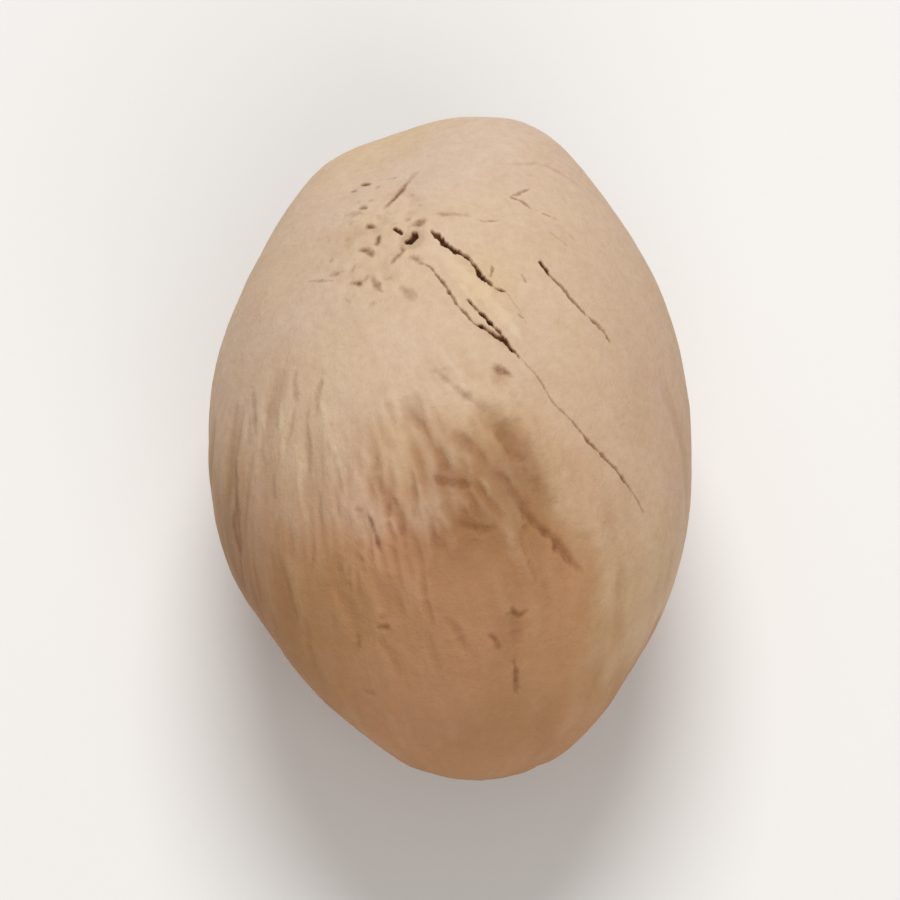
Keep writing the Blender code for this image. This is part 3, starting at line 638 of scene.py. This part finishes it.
def makeKernel():
    folds = foldStrokes(foldZones) + pitStrokes()
    wrinkles = foldStrokes(wrinkleZones)
    softEdge, softEnds, sharpEnds = (lineDetail[name] for name in ("softEdge", "softEnds", "sharpEnds"))
    cracks = lineStrokes(crackLines, lineDetail["crackEdge"], sharpEnds, noisePhases["cracks"])
    marks = lineStrokes(softMarks, softEdge, softEnds, noisePhases["marks"])
    marks += lineStrokes(fleckLines(), lineDetail["fleckEdge"], sharpEnds, noisePhases["flecks"])
    strips = lineStrokes(paleStrips, softEdge, softEnds, noisePhases["strips"])
    print(f"strokes: {len(folds)} folds and pits, {len(wrinkles)} wrinkles, {len(cracks)} cracks, "
          f"{len(marks)} marks, {len(strips)} strips")

    shape = bmesh.new()
    bmesh.ops.create_icosphere(shape, subdivisions=meshDetail["startLevel"], radius=1.0)
    refine(shape, folds + wrinkles + cracks + marks + strips)

    directions = np.array([vertex.co.normalized() for vertex in shape.verts])
    points = smoothBody(directions)
    foldSunk, foldDark, _ = strokeRelief(points, folds, foldSection)
    wrinkleSunk, _, _ = strokeRelief(points, wrinkles, foldSection)
    crackSunk, crackDark, crackLip = strokeRelief(points, cracks, crackSection)
    markSunk, markDark, _ = strokeRelief(points, marks, softSection)
    stripRise, stripPale, _ = strokeRelief(points, strips, softSection)
    ridges = ridgeRelief(directions)
    relief = foldSunk + wrinkleSunk + crackSunk + markSunk - stripRise - ridges
    for number, (height, across) in enumerate(kernelForm["ripples"]):
        relief -= height * noiseValues(directions, across, noisePhases["ripples"] + number)
    relief *= np.clip((points[:, 2] - seatLevel) / kernelForm["seatFade"], 0, 1)
    points -= bodyNormals(directions) * relief[:, None]
    points[:, 2] = np.maximum(points[:, 2], seatLevel)

    # The finished surface fills the box of the node that it stands for
    low, high = points.min(axis=0), points.max(axis=0)
    points = (points - low) / (high - low) * np.array(boxHigh - boxLow) + np.array(boxLow)
    for vertex, point in zip(shape.verts, points):
        vertex.co = point
    mesh = bpy.data.meshes.new("nutmegKernel")
    shape.to_mesh(mesh)
    shape.free()
    mesh.shade_smooth()

    storeValues(mesh, "crack", crackDark)
    storeValues(mesh, "lip", crackLip)
    storeValues(mesh, "mark", np.maximum(markDark, foldDark))
    storeValues(mesh, "strip", stripPale)
    # Sunk folds and wrinkles less the ridges, for the colours: darker where the skin is sunk and paler on
    # the ridge tops, painted shade and painted light that follow the relief
    furrows = (foldSunk + wrinkleSunk - ridges) / kernelForm["furrowDepth"]
    storeValues(mesh, "furrow", np.clip(furrows, -1, 1))
    # Bloom, thinned in patches to paint shade beside the middle bulge and on the lower left rim
    storeValues(mesh, "bloomAndShade", bloomAndShadeAmount(directions))
    storeValues(mesh, "streaky", patchValues(directions, *streakiness))
    storeValues(mesh, "yellow", patchValues(directions, *yellowness))
    storeValues(mesh, "brown", patchValues(directions, *brownness))
    storeVectors(mesh, "grain", grainCoordinates(directions))
    kernel = bpy.data.objects.new("nutmeg_kernel", mesh)
    bpy.context.scene.collection.objects.link(kernel)
    print(f"kernel: {len(mesh.polygons)} triangles")
    return kernel


# A colour as a screen shows it, from 0 to 255, as the linear one that Blender takes
def fromScreen(red, green, blue):
    linear = [part / 12.92 if part <= 0.04045 else ((part + 0.055) / 1.055) ** 2.4
              for part in (red / 255, green / 255, blue / 255)]
    return (*linear, 1.0)


kernelSkin = {
    "bloomPink": fromScreen(218, 192, 169),
    "bloomCream": fromScreen(216, 187, 149),
    "tanPink": fromScreen(186, 137, 100),
    "tanYellow": fromScreen(183, 138, 92),
    "streakBrown": fromScreen(144, 98, 63),
    "markBrown": fromScreen(122, 76, 41),
    # Near black core of the cracks: partly the brown inside them, partly painted shade in their narrow gaps
    "crackBrown": fromScreen(54, 31, 17),
    "flake": fromScreen(228, 204, 170),
    "roughness": (0.66, 0.82),
    "specular": 0.25,
    # streaks along the grain: how many across and along, detail, roughness
    "broadStreaks": (13, 2.2, 3, 0.5), "fineStreaks": (34, 5, 3, 0.6), "fibres": (100, 16, 2, 0.6),
    # mottles: how many a metre, detail, roughness
    "cloud": (240, 3, 0.5), "blotch": (620, 4, 0.6), "speckle": (2600, 3, 0.7), "powder": (9000, 3, 0.6),
    # how far each thing rubs the bloom off, or keeps it on; the furrows' share is painted shade in the
    # hollows and painted light on the ridge tops
    "wearAndShading": {"broadStreaks": 0.70, "fineStreaks": 0.45, "blotch": 0.35, "strip": 0.30, "furrow": 0.28},
    # how far the mottles swing the tone and the brown
    "swings": {"tone": 1.0, "blotch": 1.2, "cloud": 0.7},
    # the most that each thing tints the skin; the furrows' tint is partly the skin's own brown in its folds
    # and partly painted shade
    "tints": {"streak": 0.28, "furrow": 0.55, "speckle": 0.16, "mark": 0.9, "strip": 0.55, "lip": 0.22},
    # between which two values of a texture or an attribute each thing sets in
    "spans": {"tone": (0.1, 0.9), "streak": (0.50, 0.80), "speckle": (0.35, 0.75), "mark": (0.0, 0.8),
              "crackRim": (0.0, 0.55), "crackCore": (0.45, 0.95), "roughness": (0.3, 0.7)},
    "raggedness": (0.3, 0.7, 0.6, 1.3),  # speckle from and to, share of the mark there from and to
    "bumpDepth": 0.05 * mm,
    "bumps": {"fineStreaks": 0.6, "fibres": 0.15, "speckle": 1.1, "powder": 0.40, "blotch": 1.0},
}


def addNode(tree, kind, **settings):
    node = tree.nodes.new(kind)
    for name, value in settings.items():
        setattr(node, name, value)
    return node


# Puts a value, a colour or another node's output on an input
def feed(tree, socket, source):
    if isinstance(source, bpy.types.NodeSocket):
        tree.links.new(source, socket)
    else:
        socket.default_value = source


def mathOf(tree, operation, first, second):
    node = addNode(tree, "ShaderNodeMath", operation=operation)
    feed(tree, node.inputs[0], first)
    feed(tree, node.inputs[1], second)
    return node.outputs[0]


def mixOf(tree, share, first, second):
    node = addNode(tree, "ShaderNodeMix", data_type="RGBA")
    feed(tree, node.inputs["Factor"], share)
    feed(tree, node.inputs["A"], first)
    feed(tree, node.inputs["B"], second)
    return node.outputs["Result"]


def stretchOf(tree, value, low, high, toLow=0.0, toHigh=1.0):
    node = addNode(tree, "ShaderNodeMapRange", clamp=True)
    feed(tree, node.inputs["Value"], value)
    feed(tree, node.inputs["From Min"], low)
    feed(tree, node.inputs["From Max"], high)
    feed(tree, node.inputs["To Min"], toLow)
    feed(tree, node.inputs["To Max"], toHigh)
    return node.outputs["Result"]


# The texture about its middle, from -size / 2 to size / 2
def swingOf(tree, texture, size):
    return mathOf(tree, "MULTIPLY", mathOf(tree, "SUBTRACT", texture, 0.5), size)


# The total with a share of the value put to it
def withShare(tree, total, value, share, operation="ADD"):
    return mathOf(tree, operation, total, mathOf(tree, "MULTIPLY", value, share))


# Streaks that follow the grain
def makeStreakGroup():
    group = bpy.data.node_groups.new("grainStreaks", "ShaderNodeTree")
    sockets = group.interface
    sockets.new_socket("Grain", in_out="INPUT", socket_type="NodeSocketVector")
    for name in ("Across", "Along", "Detail", "Roughness"):
        sockets.new_socket(name, in_out="INPUT", socket_type="NodeSocketFloat")
    sockets.new_socket("Value", in_out="OUTPUT", socket_type="NodeSocketFloat")
    entry = addNode(group, "NodeGroupInput")
    leave = addNode(group, "NodeGroupOutput")
    scale = addNode(group, "ShaderNodeCombineXYZ")
    for axis, name in enumerate(("Across", "Across", "Along")):
        feed(group, scale.inputs[axis], entry.outputs[name])
    stretch = addNode(group, "ShaderNodeVectorMath", operation="MULTIPLY")
    feed(group, stretch.inputs[0], entry.outputs["Grain"])
    feed(group, stretch.inputs[1], scale.outputs[0])
    texture = addNode(group, "ShaderNodeTexNoise")
    feed(group, texture.inputs["Vector"], stretch.outputs[0])
    feed(group, texture.inputs["Scale"], 1.0)
    feed(group, texture.inputs["Detail"], entry.outputs["Detail"])
    feed(group, texture.inputs["Roughness"], entry.outputs["Roughness"])
    feed(group, leave.inputs["Value"], texture.outputs["Fac"])
    return group


def streaksOf(tree, group, grain, across, along, detail, roughness):
    node = addNode(tree, "ShaderNodeGroup")
    node.node_tree = group
    feed(tree, node.inputs["Grain"], grain)
    for name, value in (("Across", across), ("Along", along), ("Detail", detail), ("Roughness", roughness)):
        node.inputs[name].default_value = value
    return node.outputs["Value"]


def mottleOf(tree, place, scale, detail, roughness):
    node = addNode(tree, "ShaderNodeTexNoise")
    feed(tree, node.inputs["Vector"], place)
    feed(tree, node.inputs["Scale"], scale)
    feed(tree, node.inputs["Detail"], detail)
    feed(tree, node.inputs["Roughness"], roughness)
    return node.outputs["Fac"]


def attributeOf(tree, name, output="Fac"):
    return addNode(tree, "ShaderNodeAttribute", attribute_name=name).outputs[output]


def makeKernelMaterial(streakGroup):
    material = bpy.data.materials.new("nutmegSkin")
    material.use_nodes = True
    tree = material.node_tree
    shader = tree.nodes["Principled BSDF"]
    place = addNode(tree, "ShaderNodeTexCoord").outputs["Object"]
    grain = attributeOf(tree, "grain", "Vector")
    crack, lip, mark, strip, furrow, bloomAndShade, streaky, yellow, brown = (
        attributeOf(tree, name)
        for name in ("crack", "lip", "mark", "strip", "furrow", "bloomAndShade", "streaky", "yellow", "brown")
    )
    broadStreaks, fineStreaks, fibres = (
        streaksOf(tree, streakGroup, grain, *kernelSkin[name])
        for name in ("broadStreaks", "fineStreaks", "fibres")
    )
    cloud, blotch, speckle, powder = (
        mottleOf(tree, place, *kernelSkin[name]) for name in ("cloud", "blotch", "speckle", "powder")
    )
    wearAndShadingShares, swings, tints, spans, bumps = (
        kernelSkin[name] for name in ("wearAndShading", "swings", "tints", "spans", "bumps")
    )

    # Bloom lies on the ridges and rubs off in streaks, and the relief thins it in the hollows and keeps it
    # on the ridge tops as painted shade and painted light
    streaks = mathOf(tree, "ADD", swingOf(tree, broadStreaks, wearAndShadingShares["broadStreaks"]),
                     swingOf(tree, fineStreaks, wearAndShadingShares["fineStreaks"]))
    wearAndShading = withShare(tree, bloomAndShade, streaks, streaky)
    wearAndShading = mathOf(tree, "ADD", wearAndShading, swingOf(tree, blotch, wearAndShadingShares["blotch"]))
    wearAndShading = withShare(tree, wearAndShading, strip, wearAndShadingShares["strip"])
    # Less bloom in the furrows and more on the ridge tops: painted shade and painted light
    wearAndShading = withShare(tree, wearAndShading, furrow, wearAndShadingShares["furrow"], "SUBTRACT")
    paleShare = stretchOf(tree, wearAndShading, 0.0, 1.0)

    tone = mathOf(tree, "ADD", yellow, swingOf(tree, cloud, swings["tone"]))
    tone = stretchOf(tree, tone, *spans["tone"])
    pale = mixOf(tree, tone, kernelSkin["bloomPink"], kernelSkin["bloomCream"])
    under = mixOf(tree, tone, kernelSkin["tanPink"], kernelSkin["tanYellow"])
    browner = withShare(tree, brown, swingOf(tree, blotch, swings["blotch"]), brown)
    browner = mathOf(tree, "ADD", browner, swingOf(tree, cloud, swings["cloud"]))
    under = mixOf(tree, stretchOf(tree, browner, 0.0, 1.0), under, kernelSkin["streakBrown"])
    colour = mixOf(tree, paleShare, under, pale)
    streakShare = mathOf(tree, "MULTIPLY", stretchOf(tree, fineStreaks, *spans["streak"]), streaky)
    streakShare = mathOf(tree, "MULTIPLY", streakShare, tints["streak"])
    colour = mixOf(tree, streakShare, colour, kernelSkin["streakBrown"])
    # Browner in the furrows: partly the skin's own brown in its folds, partly painted shade
    furrowShare = mathOf(tree, "MULTIPLY", stretchOf(tree, furrow, 0.0, 1.0), tints["furrow"])
    colour = mixOf(tree, furrowShare, colour, kernelSkin["streakBrown"])
    speckleShare = stretchOf(tree, speckle, *spans["speckle"], 0.0, tints["speckle"])
    colour = mixOf(tree, speckleShare, colour, kernelSkin["streakBrown"])
    raggedMark = mathOf(tree, "MULTIPLY", mark, stretchOf(tree, speckle, *kernelSkin["raggedness"]))
    markShare = stretchOf(tree, raggedMark, *spans["mark"], 0.0, tints["mark"])
    colour = mixOf(tree, markShare, colour, kernelSkin["markBrown"])
    palest = withShare(tree, mathOf(tree, "MULTIPLY", strip, tints["strip"]), lip, tints["lip"])
    colour = mixOf(tree, palest, colour, kernelSkin["flake"])
    # Cracks: brown at the rim, near black in the core; the core is partly their own brown and partly painted
    # shade
    colour = mixOf(tree, stretchOf(tree, crack, *spans["crackRim"]), colour, kernelSkin["markBrown"])
    colour = mixOf(tree, stretchOf(tree, crack, *spans["crackCore"]), colour, kernelSkin["crackBrown"])
    feed(tree, shader.inputs["Base Color"], colour)

    roughness = stretchOf(tree, fineStreaks, *spans["roughness"], *kernelSkin["roughness"])
    feed(tree, shader.inputs["Roughness"], roughness)
    shader.inputs["Specular IOR Level"].default_value = kernelSkin["specular"]

    height = mathOf(tree, "MULTIPLY", mathOf(tree, "MULTIPLY", fineStreaks, streaky), bumps["fineStreaks"])
    for texture, share in ((fibres, bumps["fibres"]), (speckle, bumps["speckle"]),
                           (powder, bumps["powder"]), (blotch, bumps["blotch"])):
        height = withShare(tree, height, texture, share)
    bump = addNode(tree, "ShaderNodeBump")
    bump.inputs["Strength"].default_value = 1.0
    bump.inputs["Distance"].default_value = kernelSkin["bumpDepth"]
    feed(tree, bump.inputs["Height"], height)
    feed(tree, shader.inputs["Normal"], bump.outputs["Normal"])
    return material


kernel = makeKernel()
kernel.data.materials.append(makeKernelMaterial(makeStreakGroup()))
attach(kernel, "root")
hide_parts("nutmeg")
print("kernel dressed")

floorLook = {"width": 3.0, "colour": fromScreen(240, 238, 235), "roughness": 0.8, "gap": 0.01 * mm}


def makeFloor():
    shape = bmesh.new()
    bmesh.ops.create_grid(shape, x_segments=1, y_segments=1, size=floorLook["width"] / 2)
    bmesh.ops.translate(shape, verts=shape.verts, vec=(0, 0, -floorLook["gap"]))
    mesh = bpy.data.meshes.new("floor")
    shape.to_mesh(mesh)
    shape.free()
    material = bpy.data.materials.new("paleFloor")
    material.use_nodes = True
    shader = material.node_tree.nodes["Principled BSDF"]
    shader.inputs["Base Color"].default_value = floorLook["colour"]
    shader.inputs["Roughness"].default_value = floorLook["roughness"]
    mesh.materials.append(material)
    floor = bpy.data.objects.new("floor", mesh)
    bpy.context.scene.collection.objects.link(floor)


makeFloor()
print("floor laid")

studio = {
    "skyColour": (1.0, 0.99, 0.98, 1.0),
    "skyStrength": 0.33,
    # name, where it stands, size, power in watts
    "softboxes": [
        ("key", (0.0, 0.28, 0.47), 0.30, 1.90),
        ("fill", (0.10, -0.35, 0.32), 0.40, 0.80),
    ],
    "elevation": 68,
    "distance": 0.40,
    "kernelShare": 0.74,  # of the picture's height
    "sensor": 36.0,
}


def aim(thing, target):
    thing.rotation_euler = (Vector(target) - thing.location).to_track_quat("-Z", "Y").to_euler()


def makeStudio():
    scene = bpy.context.scene
    scene.view_settings.view_transform = "Standard"
    world = bpy.data.worlds.new("studioSky")
    world.use_nodes = True
    sky = world.node_tree.nodes["Background"]
    sky.inputs["Color"].default_value = studio["skyColour"]
    sky.inputs["Strength"].default_value = studio["skyStrength"]
    scene.world = world
    for name, place, size, power in studio["softboxes"]:
        lamp = bpy.data.lights.new(name, "AREA")
        lamp.shape = "DISK"
        lamp.size = size
        lamp.energy = power
        light = bpy.data.objects.new(name, lamp)
        light.location = place
        aim(light, boxCentre)
        scene.collection.objects.link(light)


def makeCamera():
    rise = math.radians(studio["elevation"])
    size = boxHigh - boxLow
    seen = math.hypot(size.y * math.sin(rise), size.z * math.cos(rise))
    picture = seen / studio["kernelShare"]
    cameraData = bpy.data.cameras.new("camera")
    cameraData.sensor_width = studio["sensor"]
    cameraData.lens = studio["sensor"] * studio["distance"] / picture
    camera = bpy.data.objects.new("camera", cameraData)
    camera.location = boxCentre + Vector((0, -math.cos(rise), math.sin(rise))) * studio["distance"]
    aim(camera, boxCentre)
    bpy.context.scene.collection.objects.link(camera)
    bpy.context.scene.camera = camera


makeStudio()
makeCamera()
print("studio and camera ready")
